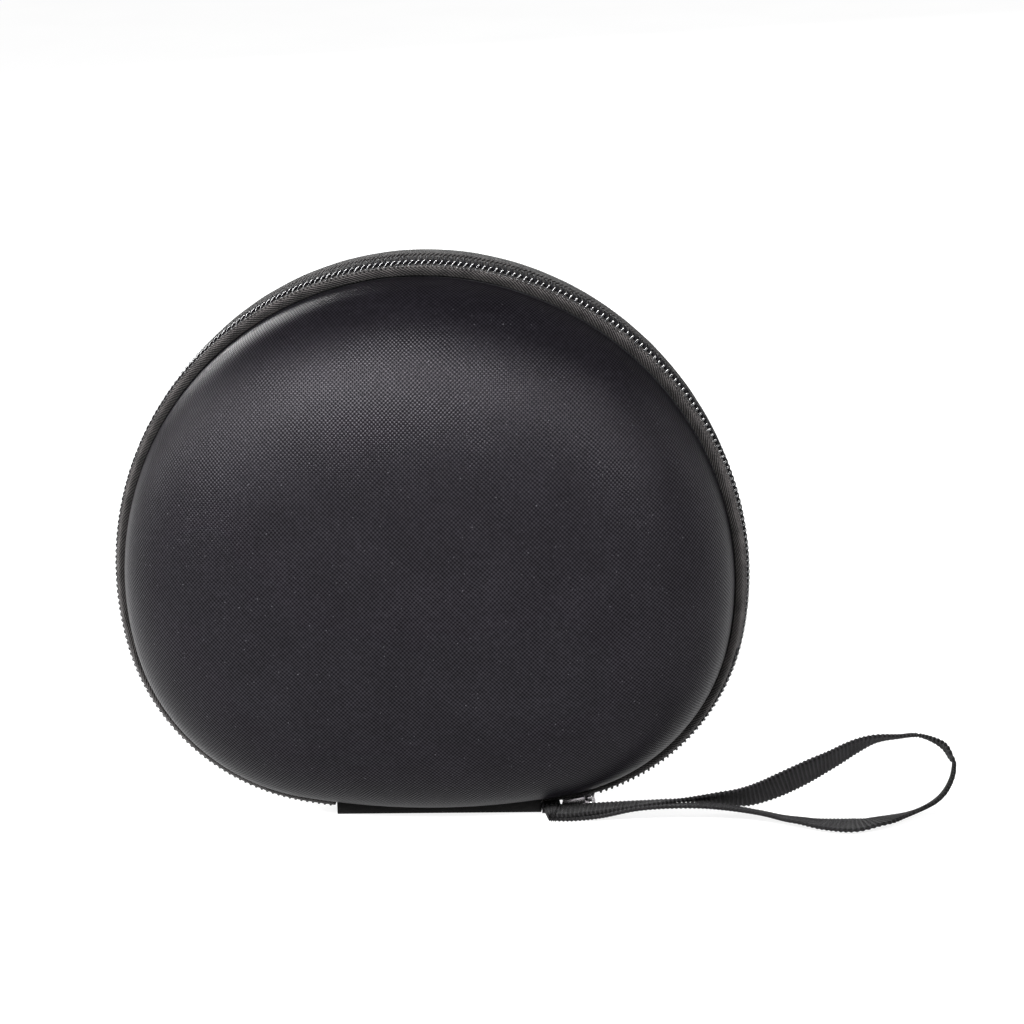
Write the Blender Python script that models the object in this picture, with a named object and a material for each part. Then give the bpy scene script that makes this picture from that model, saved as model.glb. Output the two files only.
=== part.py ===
"""Zip-up headphone carrying case, standing on its hinge edge with the wrist strap laid out beside it.

Metres, +Z up. The zip's parting plane is y = 0, the lid is on the -Y side and the rear half on the +Y side.
The origin lies under the middle of the fabric hinge, on the surface that the case stands on.
"""
import math

import bmesh
import bpy
from mathutils import Matrix, Vector

for old in list(bpy.data.objects):
    bpy.data.objects.remove(old, do_unlink=True)

MM = 0.001
GAP = 0.3 * MM

# Outline of the coil's crest in the parting plane: three pairs of tangent arcs, by the angle of their normals.
TOP_RADIUS = 81.7 * MM
CORNER_RADIUS = 55.7 * MM
TOP_ARC_END = math.radians(-13)
CORNER_ARC_END = math.radians(-79.5)
CREST_BOTTOM_Z = -0.8 * MM
TOP_STEPS, CORNER_STEPS, BOTTOM_STEPS = 24, 7, 6
END_MARGIN = math.radians(2)

# The lid hangs a little low on the zip, so towards the top the coil and the rear half stand higher than the lid.
LIFT_SLOPE = math.tan(math.radians(12))
LIFT_START_Y = -3 * MM
LIFT_END_Y = 9 * MM

# Depths are measured from the parting plane, rises outwards from the crest outline.
CASE_DEPTH = 35.4 * MM
LID_RIM_DEPTH = 5.6 * MM
REAR_RIM_DEPTH = 9.0 * MM
COVER_RISE = -3.5 * MM
COVER_THICKNESS = 0.6 * MM
SHELL_THICKNESS = 3.0 * MM
LINING_THICKNESS = 0.6 * MM
DOME_LEVELS = (0.0, 0.25, 0.5, 0.72, 0.88, 0.97)
DOME_POWER = 3.0

HINGE_HALF_LENGTH = 26.5 * MM
HINGE_AXIS_Z = -0.3 * MM
HINGE_TOP_RISE = 1.6 * MM
HINGE_LIP_RISE = 3.2 * MM
HINGE_LIP_THICKNESS = 0.75 * MM
HINGE_BEVEL = 0.3 * MM

# The slider's own frame has X along the zip, away from the hinge, and Y across it.
SLIDER_ANGLE = math.radians(-79.3)
SLIDER_HALF_LENGTH = 4.2 * MM
SLIDER_HALF_WIDTH = 3.9 * MM
SLIDER_POST_HALF = 0.35 * MM
SLIDER_CLEARANCE = 0.6 * MM
COIL_START = -2.7 * MM
BRIDGE_HALF_WIDTH = 0.7 * MM
PULL_AXIS_X = 3.05 * MM
PULL_AXIS_RISE = 1.25 * MM
PULL_TIP_X = -4.6 * MM
PULL_HALF_WIDTH = 2.4 * MM
PULL_THICKNESS = 0.4 * MM

POCKET_DEPTH = 12.0 * MM
POCKET_BOTTOM_Z = 11.5 * MM
POCKET_TOP_Z = 92.0 * MM
POCKET_INSET = 1.2 * MM
POCKET_THICKNESS = 0.5 * MM
POCKET_STEPS = 14
ELASTIC_HEIGHT = 6.0 * MM
ELASTIC_THICKNESS = 1.2 * MM

STRAP_WIDTH = 9.3 * MM
STRAP_THICKNESS = 1.0 * MM
STRAP_STEPS = 3
ANCHOR_LENGTH = 4.2 * MM
ANCHOR_SLANT = 2.2 * MM
# Route of the strap's middle line in millimetres, with the turn of its face about that line in degrees.
STRAP_ROUTE = (
    (31.4, -9.2, 0.6, 0), (36.0, -9.4, 0.65, 0), (43.0, -10.0, 1.2, -4), (52.5, -11.7, 3.02, -12),
    (62.8, -12.4, 3.8, -12), (72.4, -12.7, 3.5, -12), (82.3, -14.8, 2.6, -15), (88.9, -17.2, 1.9, -15),
    (94.4, -19.9, 1.8, -11), (100.2, -21.8, 1.48, -3), (107.4, -22.7, 1.4, 1), (112.8, -21.3, 1.8, -6),
    (117.3, -18.1, 1.92, -12), (122.8, -14.3, 2.3, -22), (126.8, -9.9, 3.0, -21), (129.7, -5.6, 4.4, -18),
    (131.7, -1.3, 6.68, -11), (132.5, 1.4, 9.37, -2), (132.0, 2.2, 11.25, 12), (129.4, 4.3, 14.23, 22),
    (123.7, 6.0, 16.27, 16), (118.3, 4.9, 16.3, 19), (112.5, 2.9, 16.2, 27), (107.4, 1.1, 14.85, 35),
    (101.0, -1.6, 12.15, 42), (96.5, -3.5, 10.4, 48), (90.4, -5.5, 8.0, 51), (84.5, -6.7, 5.8, 49),
    (79.0, -7.7, 4.5, 45), (72.5, -8.2, 4.3, 33), (61.2, -8.2, 3.75, 16), (52.9, -8.9, 3.2, 9),
    (43.0, -9.0, 2.3, 3), (36.0, -9.1, 1.75, 0), (31.4, -9.2, 1.65, 0),
)

COLOURS = {
    "knit": ((0.022, 0.021, 0.026), 0.78, 0.0),
    "foam": ((0.035, 0.035, 0.037), 0.9, 0.0),
    "lining": ((0.045, 0.045, 0.05), 0.95, 0.0),
    "tape": ((0.02, 0.02, 0.022), 0.7, 0.0),
    "nylon": ((0.012, 0.012, 0.014), 0.25, 0.0),
    "net": ((0.03, 0.03, 0.032), 0.6, 0.0),
    "webbing": ((0.02, 0.019, 0.022), 0.65, 0.0),
    "nickel": ((0.62, 0.6, 0.6), 0.25, 1.0),
}


def make_material(name):
    colour, roughness, metallic = COLOURS[name]
    made = bpy.data.materials.new(name)
    made.use_nodes = True
    shader = made.node_tree.nodes["Principled BSDF"]
    shader.inputs["Base Color"].default_value = (*colour, 1.0)
    shader.inputs["Roughness"].default_value = roughness
    shader.inputs["Metallic"].default_value = metallic
    return made


MATERIALS = {name: make_material(name) for name in COLOURS}


# ---------------------------------------------------------------- outline

def arc_centres():
    """Centres (x, z) of the top arc, the right corner arc and the bottom arc, and the bottom arc's radius."""
    corner_x = (TOP_RADIUS - CORNER_RADIUS) * math.cos(TOP_ARC_END)
    bottom_radius = CORNER_RADIUS + corner_x / math.cos(CORNER_ARC_END)
    bottom_z = CREST_BOTTOM_Z + bottom_radius
    corner_z = bottom_z + (bottom_radius - CORNER_RADIUS) * math.sin(CORNER_ARC_END)
    top_z = corner_z - (TOP_RADIUS - CORNER_RADIUS) * math.sin(TOP_ARC_END)
    return (0.0, top_z), (corner_x, corner_z), (0.0, bottom_z), bottom_radius


TOP_CENTRE, CORNER_CENTRE, BOTTOM_CENTRE, BOTTOM_RADIUS = arc_centres()
CREST_TOP_Z = TOP_CENTRE[1] + TOP_RADIUS
DOME_CENTRE_Z = (CREST_BOTTOM_Z + CREST_TOP_Z) / 2


def lifted(x, y, z):
    """The point with the small rise that the coil and the rear half have near the top."""
    reach = min(max(y, LIFT_START_Y), LIFT_END_Y) - LIFT_START_Y
    return Vector((x, y, z + LIFT_SLOPE * reach * max(z / CREST_TOP_Z, 0.0) ** 3))


def rim_flat(angle, rise):
    """(x, z) of the outline moved out by rise, where its normal points at angle from +X towards +Z."""
    mirrored = math.cos(angle) < 0
    right_angle = math.pi - angle if mirrored else angle
    right_angle = math.atan2(math.sin(right_angle), math.cos(right_angle))
    if right_angle >= TOP_ARC_END:
        centre, radius = TOP_CENTRE, TOP_RADIUS
    elif right_angle >= CORNER_ARC_END:
        centre, radius = CORNER_CENTRE, CORNER_RADIUS
    else:
        centre, radius = BOTTOM_CENTRE, BOTTOM_RADIUS
    x = centre[0] + (radius + rise) * math.cos(right_angle)
    z = centre[1] + (radius + rise) * math.sin(right_angle)
    return (-x if mirrored else x), z


def spread(start, end, steps):
    return [start + (end - start) * i / steps for i in range(steps)]


def full_round():
    """Normal angles once round the outline, from the bottom middle, up the right side and down the left."""
    bottom = -math.pi / 2
    left_top = math.pi - TOP_ARC_END
    left_corner = math.pi - CORNER_ARC_END
    half_steps = BOTTOM_STEPS // 2
    return (
        spread(bottom, CORNER_ARC_END, half_steps)
        + spread(CORNER_ARC_END, TOP_ARC_END, CORNER_STEPS)
        + spread(TOP_ARC_END, left_top, TOP_STEPS)
        + spread(left_top, left_corner, CORNER_STEPS)
        + spread(left_corner, bottom + 2 * math.pi, half_steps)
    )


def angle_at(x):
    """Normal angle of the crest's lower right stretch at this x."""
    corner_start_x = BOTTOM_RADIUS * math.cos(CORNER_ARC_END)
    if x < corner_start_x:
        return -math.acos(x / BOTTOM_RADIUS)
    return -math.acos((x - CORNER_CENTRE[0]) / CORNER_RADIUS)


def open_round(first, last):
    """The same angles from first to last only, for a strip that stops at both ends of the hinge."""
    inside = [a for a in full_round() if first + END_MARGIN < a < last - END_MARGIN]
    return [first] + inside + [last]


# ---------------------------------------------------------------- mesh building

def add_part(name, mesh_data, material, origin=Vector((0, 0, 0)), parent=None, turn=0.0):
    """Makes the object of a bmesh in world coordinates, with its origin at origin and turned about Y by turn."""
    bmesh.ops.recalc_face_normals(mesh_data, faces=mesh_data.faces)
    mesh_data.transform(Matrix.Rotation(-turn, 4, "Y") @ Matrix.Translation(-origin))
    mesh = bpy.data.meshes.new(name)
    mesh_data.to_mesh(mesh)
    mesh_data.free()
    mesh.materials.append(MATERIALS[material])
    mesh.shade_smooth()
    mesh.set_sharp_from_angle(angle=math.radians(35))
    made = bpy.data.objects.new(name, mesh)
    bpy.context.scene.collection.objects.link(made)
    made.location = origin - (parent.location if parent else Vector((0, 0, 0)))
    made.rotation_euler.y = turn
    made.parent = parent
    return made


def bridge_rings(mesh_data, rings, closed_rings, first_cap=None, last_cap=None):
    """Skins a list of point rings. A cap is a point for a fan, or True for one flat face."""
    rows = [[mesh_data.verts.new(point) for point in ring] for ring in rings]
    count = len(rows[0])
    for low, high in zip(rows[:-1], rows[1:]):
        for i in range(count if closed_rings else count - 1):
            j = (i + 1) % count
            mesh_data.faces.new((low[i], low[j], high[j], high[i]))
    for row, cap in ((rows[0], first_cap), (rows[-1], last_cap)):
        if cap is True:
            mesh_data.faces.new(row)
        elif cap is not None:
            tip = mesh_data.verts.new(cap)
            for i in range(count):
                mesh_data.faces.new((row[i], row[(i + 1) % count], tip))


def rim_ring(side, angles, depth, rise):
    """A ring of points at this depth on one side (-1 lid, +1 rear), at this rise from the crest outline."""
    return [lifted(x, side * depth, z) for x, z in (rim_flat(a, rise) for a in angles)]


def strip_round(side, angles, profiles, closed):
    """A strip swept round the rim, with a closed section of (depth, rise) points at each angle."""
    made = bmesh.new()
    sections = []
    for angle, profile in zip(angles, profiles):
        flat = [(depth, *rim_flat(angle, rise)) for depth, rise in profile]
        sections.append([lifted(x, side * depth, z) for depth, x, z in flat])
    if closed:
        bridge_rings(made, sections + sections[:1], True)
        bmesh.ops.remove_doubles(made, verts=made.verts, dist=0.001 * MM)
    else:
        bridge_rings(made, sections, True, True, True)
    return made


def dome_rings(side, rim_depth, rise, crown_depth):
    """Rings of a domed surface from its rim to just short of its crown, and the crown's point."""
    rings = []
    base = [rim_flat(a, rise) for a in full_round()]
    for level in DOME_LEVELS:
        scale = (1 - level**2) ** (1 / DOME_POWER)
        depth = rim_depth + level * (crown_depth - rim_depth)
        rings.append([
            lifted(x * scale, side * depth, DOME_CENTRE_Z + (z - DOME_CENTRE_Z) * scale) for x, z in base
        ])
    return rings, lifted(0.0, side * crown_depth, DOME_CENTRE_Z)


def dome_solid(inner, outer, rim_rings):
    """A closed shell between two dome surfaces, with extra rings round its rim."""
    made = bmesh.new()
    inner_rings, inner_crown = inner
    outer_rings, outer_crown = outer
    bridge_rings(made, inner_rings[::-1] + rim_rings + outer_rings, True, inner_crown, outer_crown)
    return made


# ---------------------------------------------------------------- the two halves

def rim_profile(points, rim_depth):
    """The lid's profile points, with those past the coil moved out to a wider rim on the rear half."""
    wider = rim_depth - LID_RIM_DEPTH
    past_coil = 3.3
    return [((d * MM + wider if d > past_coil else d * MM), r * MM) for d, r in points]


TAPE_PROFILE = (
    (0.8, -1.0), (3.6, -1.0), (4.5, -1.35), (5.1, -2.0), (5.25, -3.2), (4.7, -3.2), (4.55, -2.3), (3.9, -1.6),
    (0.8, -1.6),
)
COIL_PROFILE = ((0.55, -0.7), (0.55, -0.1), (1.3, 0.0), (2.4, -0.2), (3.0, -0.7))
FLANGE_PROFILE = ((1.05, -3.5), (3.2, -3.5), (3.2, -1.95), (3.8, -2.0), (4.3, -2.6), (4.35, -4.4))
# Beside the slider the lid's tape keeps only its outer edge, so that the slider's plates leave the lid free.
TAPE_EDGE_PROFILE = (
    (4.05, -1.22), (4.15, -1.2), (4.5, -1.35), (5.1, -2.0), (5.25, -3.2), (4.7, -3.2), (4.55, -2.3), (4.15, -1.85),
    (4.05, -1.8),
)
BINDING_PROFILE = ((0.15, -3.8), (0.15, -8.6), (5.1, -8.6), (5.1, -7.7), (0.75, -7.7), (0.75, -3.8))


def make_half(prefix, side, rim_depth, origin, parent):
    around = full_round()
    shell_rise = COVER_RISE - COVER_THICKNESS - GAP
    inner_rise = shell_rise - SHELL_THICKNESS
    lining_rise = inner_rise - GAP
    shell_crown = CASE_DEPTH - COVER_THICKNESS - GAP
    inner_crown = shell_crown - SHELL_THICKNESS
    lining_crown = inner_crown - GAP

    cover = dome_solid(
        dome_rings(side, rim_depth, COVER_RISE - COVER_THICKNESS, CASE_DEPTH - COVER_THICKNESS),
        dome_rings(side, rim_depth, COVER_RISE, CASE_DEPTH),
        [],
    )
    add_part(prefix + "_cover", cover, "knit", origin, parent)

    flange = [
        rim_ring(side, around, depth, rise)
        for depth, rise in [(1.05 * MM, inner_rise)] + rim_profile(FLANGE_PROFILE, rim_depth)
    ]
    shell = dome_solid(
        dome_rings(side, rim_depth, inner_rise, inner_crown),
        dome_rings(side, rim_depth, shell_rise, shell_crown),
        flange,
    )
    add_part(prefix + "_shell", shell, "foam", origin, parent)

    lining = dome_solid(
        dome_rings(side, rim_depth, lining_rise - LINING_THICKNESS, lining_crown - LINING_THICKNESS),
        dome_rings(side, rim_depth, lining_rise, lining_crown),
        [],
    )
    add_part(prefix + "_lining", lining, "lining", origin, parent)

    binding = strip_round(side, around, [rim_profile(BINDING_PROFILE, rim_depth)] * len(around), True)
    add_part(prefix + "_rim_binding", binding, "tape", origin, parent)

    # The strips' end faces lean inwards from the crest, so they start a little further from the hinge.
    hinge_end = angle_at(HINGE_HALF_LENGTH + 3 * GAP)
    left_end = math.pi - hinge_end
    full_tape = rim_profile(TAPE_PROFILE, rim_depth)
    past_slider = SLIDER_ANGLE + (SLIDER_HALF_LENGTH + SLIDER_CLEARANCE) / CORNER_RADIUS
    if side < 0:
        narrow = [hinge_end, (hinge_end + past_slider) / 2, past_slider]
        wide = open_round(past_slider + SLIDER_CLEARANCE / CORNER_RADIUS, left_end)
        tape_edge = rim_profile(TAPE_EDGE_PROFILE, rim_depth)
        tape = strip_round(side, narrow + wide, [tape_edge] * len(narrow) + [full_tape] * len(wide), False)
        coil_angles = wide
    else:
        angles = open_round(hinge_end, left_end)
        tape = strip_round(side, angles, [full_tape] * len(angles), False)
        slider_x = rim_flat(SLIDER_ANGLE, 0.0)[0]
        coil_start_x = slider_x + COIL_START * math.cos(SLIDER_ANGLE + math.pi / 2)
        coil_angles = open_round(angle_at(coil_start_x), left_end)
    add_part(prefix + "_zip_tape", tape, "tape", origin, parent)

    coil = strip_round(side, coil_angles, [rim_profile(COIL_PROFILE, rim_depth)] * len(coil_angles), False)
    add_part(prefix + "_zip_coil", coil, "nylon", origin, parent)

    hinge = hinge_leaf(side, rim_depth)
    add_part("hinge_strip_" + prefix, hinge, "tape", origin, parent)


def hinge_leaf(side, rim_depth):
    """Half of the outer hinge fabric: flat underneath, its top following the rim, its outer edge turned up."""
    made = bmesh.new()
    start = GAP / 2
    outer = rim_depth - 0.1 * MM
    inner = outer - HINGE_LIP_THICKNESS
    sections = []
    for i in range(BOTTOM_STEPS + 1):
        x = HINGE_HALF_LENGTH * (2 * i / BOTTOM_STEPS - 1)
        angle = angle_at(abs(x))
        crest = rim_flat(angle, 0.0)[1]
        top = crest + HINGE_TOP_RISE
        lip = crest + HINGE_LIP_RISE
        section = (
            (start, 0.0), (outer - HINGE_BEVEL, 0.0), (outer, HINGE_BEVEL), (outer, lip), (inner, lip),
            (inner, top), (start, top),
        )
        sections.append([Vector((x, side * depth, z)) for depth, z in section])
    bridge_rings(made, sections, True, True, True)
    return made


# ---------------------------------------------------------------- mesh pocket inside the lid

def pocket_outline(low_z, high_z, depth):
    """The lining's inner outline at this depth, kept between two heights, anticlockwise seen from the zip."""
    crown = CASE_DEPTH - COVER_THICKNESS - SHELL_THICKNESS - 2 * GAP - LINING_THICKNESS
    rise = COVER_RISE - COVER_THICKNESS - SHELL_THICKNESS - 2 * GAP - LINING_THICKNESS
    level = (depth - LID_RIM_DEPTH) / (crown - LID_RIM_DEPTH)
    scale = (1 - level**2) ** (1 / DOME_POWER)
    right = []
    for i in range(POCKET_STEPS + 1):
        target = low_z + (high_z - low_z) * i / POCKET_STEPS
        low, high = -math.pi / 2, math.pi / 2
        for _ in range(40):
            middle = (low + high) / 2
            z = DOME_CENTRE_Z + (rim_flat(middle, rise)[1] - DOME_CENTRE_Z) * scale
            low, high = (middle, high) if z < target else (low, middle)
        right.append((rim_flat(low, rise)[0] * scale - POCKET_INSET, target))
    return right + [(-x, z) for x, z in reversed(right)]


def flat_plate(outline, depth, thickness):
    made = bmesh.new()
    layers = [[Vector((x, -d, z)) for x, z in outline] for d in (depth - thickness / 2, depth + thickness / 2)]
    bridge_rings(made, layers, True, True, True)
    return made


def make_pocket(origin, parent):
    net = pocket_outline(POCKET_BOTTOM_Z, POCKET_TOP_Z, POCKET_DEPTH)
    add_part("pocket_net", flat_plate(net, POCKET_DEPTH, POCKET_THICKNESS), "net", origin, parent)
    band = pocket_outline(POCKET_TOP_Z + GAP, POCKET_TOP_Z + GAP + ELASTIC_HEIGHT, POCKET_DEPTH)
    add_part("pocket_elastic", flat_plate(band, POCKET_DEPTH, ELASTIC_THICKNESS), "tape", origin, parent)


# ---------------------------------------------------------------- zip slider and its pull

def extruded(outline, axis, low, high):
    """A bmesh of an outline of (a, b) points, extruded along axis "X" or "Y" of the slider's own frame."""
    made = bmesh.new()
    rings = []
    for along in (low, high):
        if axis == "X":
            rings.append([Vector((along, a, -b)) for a, b in outline])
        else:
            rings.append([Vector((a, along, -b)) for a, b in outline])
    bridge_rings(made, rings, True, True, True)
    return made


def slider_frame():
    """From the slider's own frame (X along the zip, Y across it, -Z outwards, origin on the crest) to the world."""
    turn = -(SLIDER_ANGLE + math.pi / 2)
    x, z = CORNER_CENTRE
    rotate = Matrix.Rotation(turn, 4, "Y")
    return Matrix.Translation((x, 0, z)) @ rotate @ Matrix.Translation((0, 0, -CORNER_RADIUS)), turn


def join_by_boolean(base, helpers):
    for helper in helpers:
        helper.hide_render = True
        helper.display_type = "WIRE"
        union = base.modifiers.new("join_" + helper.name, "BOOLEAN")
        union.operation = "UNION"
        union.object = helper


def make_slider():
    to_world, turn = slider_frame()
    axis = Vector((CORNER_CENTRE[0], 0, CORNER_CENTRE[1]))
    half = SLIDER_HALF_LENGTH
    side_out = SLIDER_HALF_WIDTH
    side_in = side_out - 0.55 * MM
    bevel = 0.25 * MM
    plate_low, plate_top, lip_low = 0.35 * MM, 0.8 * MM, -0.6 * MM
    channel = (
        (-side_out, lip_low), (-side_out, plate_top - bevel), (-side_out + bevel, plate_top),
        (side_out - bevel, plate_top), (side_out, plate_top - bevel), (side_out, lip_low),
        (side_in, lip_low), (side_in, plate_low), (-side_in, plate_low), (-side_in, lip_low),
    )
    wing_half, wing_low, wing_top = 1.8 * MM, -3.1 * MM, -2.3 * MM
    wing = ((-wing_half, wing_low), (-wing_half, wing_top), (wing_half, wing_top), (wing_half, wing_low))
    post_end = COIL_START - GAP
    post_low, post_top = -2.7 * MM, 0.5 * MM
    post = ((-half, post_low), (-half, post_top), (post_end, post_top), (post_end, post_low))
    bridge = (
        (-1.0, 0.5), (-1.0, 1.6), (-0.7, 2.0), (3.7, 2.8), (4.2, 2.4), (4.2, 0.5), (3.55, 0.5), (3.55, 2.2),
        (-0.3, 1.65), (-0.3, 0.5),
    )
    bridge_shape = extruded([(a * MM, b * MM) for a, b in bridge], "Y", -BRIDGE_HALF_WIDTH, BRIDGE_HALF_WIDTH)
    pieces = [
        ("zip_slider", extruded(channel, "X", -half, half)),
        ("slider_inner_wing", extruded(wing, "X", -half, half)),
        ("slider_post", extruded(post, "Y", -SLIDER_POST_HALF, SLIDER_POST_HALF)),
        ("slider_bridge", bridge_shape),
    ]
    made = []
    for name, shape in pieces:
        shape.transform(to_world)
        made.append(add_part(name, shape, "nickel", axis, None, turn))
    join_by_boolean(made[0], made[1:])


def make_pull():
    """A flat tab folded back under the slider. Its window lets it swing about the bar inside the slider's bridge."""
    to_world, turn = slider_frame()
    low = PULL_AXIS_RISE - PULL_THICKNESS / 2
    top = PULL_AXIS_RISE + PULL_THICKNESS / 2
    bar_half = 0.25 * MM
    window_half = BRIDGE_HALF_WIDTH + 0.35 * MM
    window_end = -1.5 * MM
    corner = 1.0 * MM
    start, tip, wide = PULL_AXIS_X + bar_half, PULL_TIP_X, PULL_HALF_WIDTH
    outer = (
        (start, -wide * 0.8), (tip + corner, -wide), (tip, corner - wide), (tip, wide - corner),
        (tip + corner, wide), (start, wide * 0.8),
    )
    window_start = PULL_AXIS_X - bar_half
    hole = (
        (window_start, -window_half), (window_end, -window_half), (window_end, window_half),
        (window_start, window_half),
    )
    axis = to_world @ Vector((PULL_AXIS_X, 0, -PULL_AXIS_RISE))
    made = []
    for name, outline, beyond in (("zip_pull", outer, 0.0), ("pull_window", hole, 1.0 * MM)):
        shape = bmesh.new()
        rings = [[Vector((a, b, -rise)) for a, b in outline] for rise in (low - beyond, top + beyond)]
        bridge_rings(shape, rings, True, True, True)
        shape.transform(to_world)
        made.append(add_part(name, shape, "nickel", axis, None, turn))
    pull, window_cutter = made
    window_cutter.hide_render = True
    window_cutter.display_type = "WIRE"
    cut = pull.modifiers.new("window", "BOOLEAN")
    cut.operation = "DIFFERENCE"
    cut.object = window_cutter


# ---------------------------------------------------------------- wrist strap

def smooth_route(points, steps):
    """Catmull-Rom curve through the points, with steps pieces between each two."""
    smooth = []
    for i in range(len(points) - 1):
        before = points[max(i - 1, 0)]
        after = points[min(i + 2, len(points) - 1)]
        here, there = points[i], points[i + 1]
        for k in range(steps):
            t = k / steps
            smooth.append(tuple(
                0.5 * (2 * b + (c - a) * t + (2 * a - 5 * b + 4 * c - d) * t**2 + (3 * b - a - 3 * c + d) * t**3)
                for a, b, c, d in zip(before, here, there, after)
            ))
    smooth.append(points[-1])
    return smooth


def make_strap(origin, parent):
    """One length of flat webbing, out from the anchor and back to it, turned about its middle line as it goes."""
    stations = smooth_route(STRAP_ROUTE, STRAP_STEPS)
    middle = [Vector(s[:3]) * MM for s in stations]
    sections = []
    for i, station in enumerate(stations):
        along = (middle[min(i + 1, len(middle) - 1)] - middle[max(i - 1, 0)]).normalized()
        across = (Vector((0, 1, 0)) - along * along.y).normalized()
        inward = along.cross(across)
        turn = math.radians(station[3])
        wide = (across * math.cos(turn) + inward * math.sin(turn)) * STRAP_WIDTH / 2
        thick = wide.cross(along).normalized() * STRAP_THICKNESS / 2
        sections.append([middle[i] + wide * a + thick * b for a, b in ((-1, -1), (1, -1), (1, 1), (-1, 1))])
    made = bmesh.new()
    bridge_rings(made, sections, True, True, True)
    add_part("wrist_strap", made, "webbing", origin, parent)


def make_anchor(origin, parent):
    """The strap's two ends folded together in front of the rim, and the tab that is stitched under the tape."""
    tab_top, block_top, bottom = 0.85 * MM, 3.1 * MM, 0.1 * MM
    section = (
        (-1.0 * MM, bottom), (-1.0 * MM, tab_top), (-5.65 * MM, tab_top), (-5.65 * MM, block_top),
        (-14.1 * MM, block_top), (-14.1 * MM, bottom),
    )
    left = HINGE_HALF_LENGTH + GAP
    right = left + ANCHOR_LENGTH
    back, front = section[2][0], section[-1][0]
    left_ring = []
    right_ring = []
    for y, z in section:
        forward = max(0.0, (y - back) / (front - back))
        left_ring.append(Vector((left + ANCHOR_SLANT * forward, y, z)))
        right_ring.append(Vector((right, y, z)))
    made = bmesh.new()
    bridge_rings(made, [left_ring, right_ring], True, True, True)
    add_part("strap_anchor", made, "webbing", origin, parent)


# ---------------------------------------------------------------- assembly

lid_axis = bpy.data.objects.new("lid_hinge_axis", None)
lid_axis.location = (0, 0, HINGE_AXIS_Z)
bpy.context.scene.collection.objects.link(lid_axis)
LID_ORIGIN = Vector((0, 0, HINGE_AXIS_Z))

make_half("rear", 1, REAR_RIM_DEPTH, Vector((0, 0, 0)), None)
make_half("lid", -1, LID_RIM_DEPTH, LID_ORIGIN, lid_axis)
make_pocket(LID_ORIGIN, lid_axis)
make_slider()
make_pull()
make_anchor(LID_ORIGIN, lid_axis)
make_strap(LID_ORIGIN, lid_axis)
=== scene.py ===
import math

import bmesh
import bpy
import numpy as np
from mathutils import Matrix, Vector, noise


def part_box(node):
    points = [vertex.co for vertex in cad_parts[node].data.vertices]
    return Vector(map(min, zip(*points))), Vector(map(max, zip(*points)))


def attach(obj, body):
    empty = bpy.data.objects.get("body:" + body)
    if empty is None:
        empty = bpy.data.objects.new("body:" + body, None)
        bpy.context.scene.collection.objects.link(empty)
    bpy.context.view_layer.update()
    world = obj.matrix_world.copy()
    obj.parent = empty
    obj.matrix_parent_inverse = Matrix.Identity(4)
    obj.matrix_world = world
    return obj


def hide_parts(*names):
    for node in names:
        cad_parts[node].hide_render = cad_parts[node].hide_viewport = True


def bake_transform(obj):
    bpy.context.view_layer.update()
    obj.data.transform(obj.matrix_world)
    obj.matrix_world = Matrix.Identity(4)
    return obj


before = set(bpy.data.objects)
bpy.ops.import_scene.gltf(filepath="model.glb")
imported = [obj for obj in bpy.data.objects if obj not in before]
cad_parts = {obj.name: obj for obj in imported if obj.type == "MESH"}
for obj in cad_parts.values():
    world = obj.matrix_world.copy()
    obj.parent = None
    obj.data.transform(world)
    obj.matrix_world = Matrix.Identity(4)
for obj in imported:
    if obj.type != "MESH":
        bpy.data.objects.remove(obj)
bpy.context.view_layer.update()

MM = 0.001

# ---------------- sizes shared with the CAD part

TOP_RADIUS = 81.7 * MM
CORNER_RADIUS = 55.7 * MM
TOP_ARC_END = math.radians(-13)
CORNER_ARC_END = math.radians(-79.5)
CREST_BOTTOM_Z = -0.8 * MM
LIFT_SLOPE = math.tan(math.radians(12))
LIFT_START_Y = -3 * MM
LIFT_END_Y = 9 * MM

CASE_DEPTH = 35.4 * MM
RIM_DEPTH = {-1: 5.6 * MM, 1: 9.0 * MM}
COVER_RISE = -3.5 * MM
COVER_THICKNESS = 0.6 * MM
LAYER_GAP = 0.3 * MM
SHELL_RISE = COVER_RISE - COVER_THICKNESS - LAYER_GAP
SHELL_THICKNESS = 3.0 * MM
SHELL_CROWN = CASE_DEPTH - COVER_THICKNESS - LAYER_GAP
LINING_RISE = SHELL_RISE - SHELL_THICKNESS - LAYER_GAP
LINING_THICKNESS = 0.6 * MM
LINING_CROWN = SHELL_CROWN - SHELL_THICKNESS - LAYER_GAP
DOME_POWER = 3.0

HINGE_HALF_LENGTH = 26.5 * MM
SLIDER_ANGLE = math.radians(-79.3)
SLIDER_RUN = math.radians(58)
STRAP_WIDTH = 9.3 * MM
ANCHOR_SLANT = 2.2 * MM
ANCHOR_BACK_Y = -5.65 * MM
ANCHOR_WIDTH = 8.45 * MM

# ---------------- sizes of the visual alone

STRAP_THICKNESS = 1.2 * MM
WEBBING_RIB = 1.1 * MM
RIB_DEPTH = 0.24 * MM

COIL_PITCH = 1.55 * MM
COIL_START = {-1: 4.8 * MM, 1: -2.6 * MM}
TEETH_OFFSET = {-1: 0.0, 1: 0.5 * COIL_PITCH}
FILAMENT_RADIUS = 0.29 * MM
STEPS_A_TURN = 16
ZIP_LEAN = 1.1 * MM
ZIP_SINK = 0.35 * MM
THREAD_RADIUS = 0.17 * MM

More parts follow.
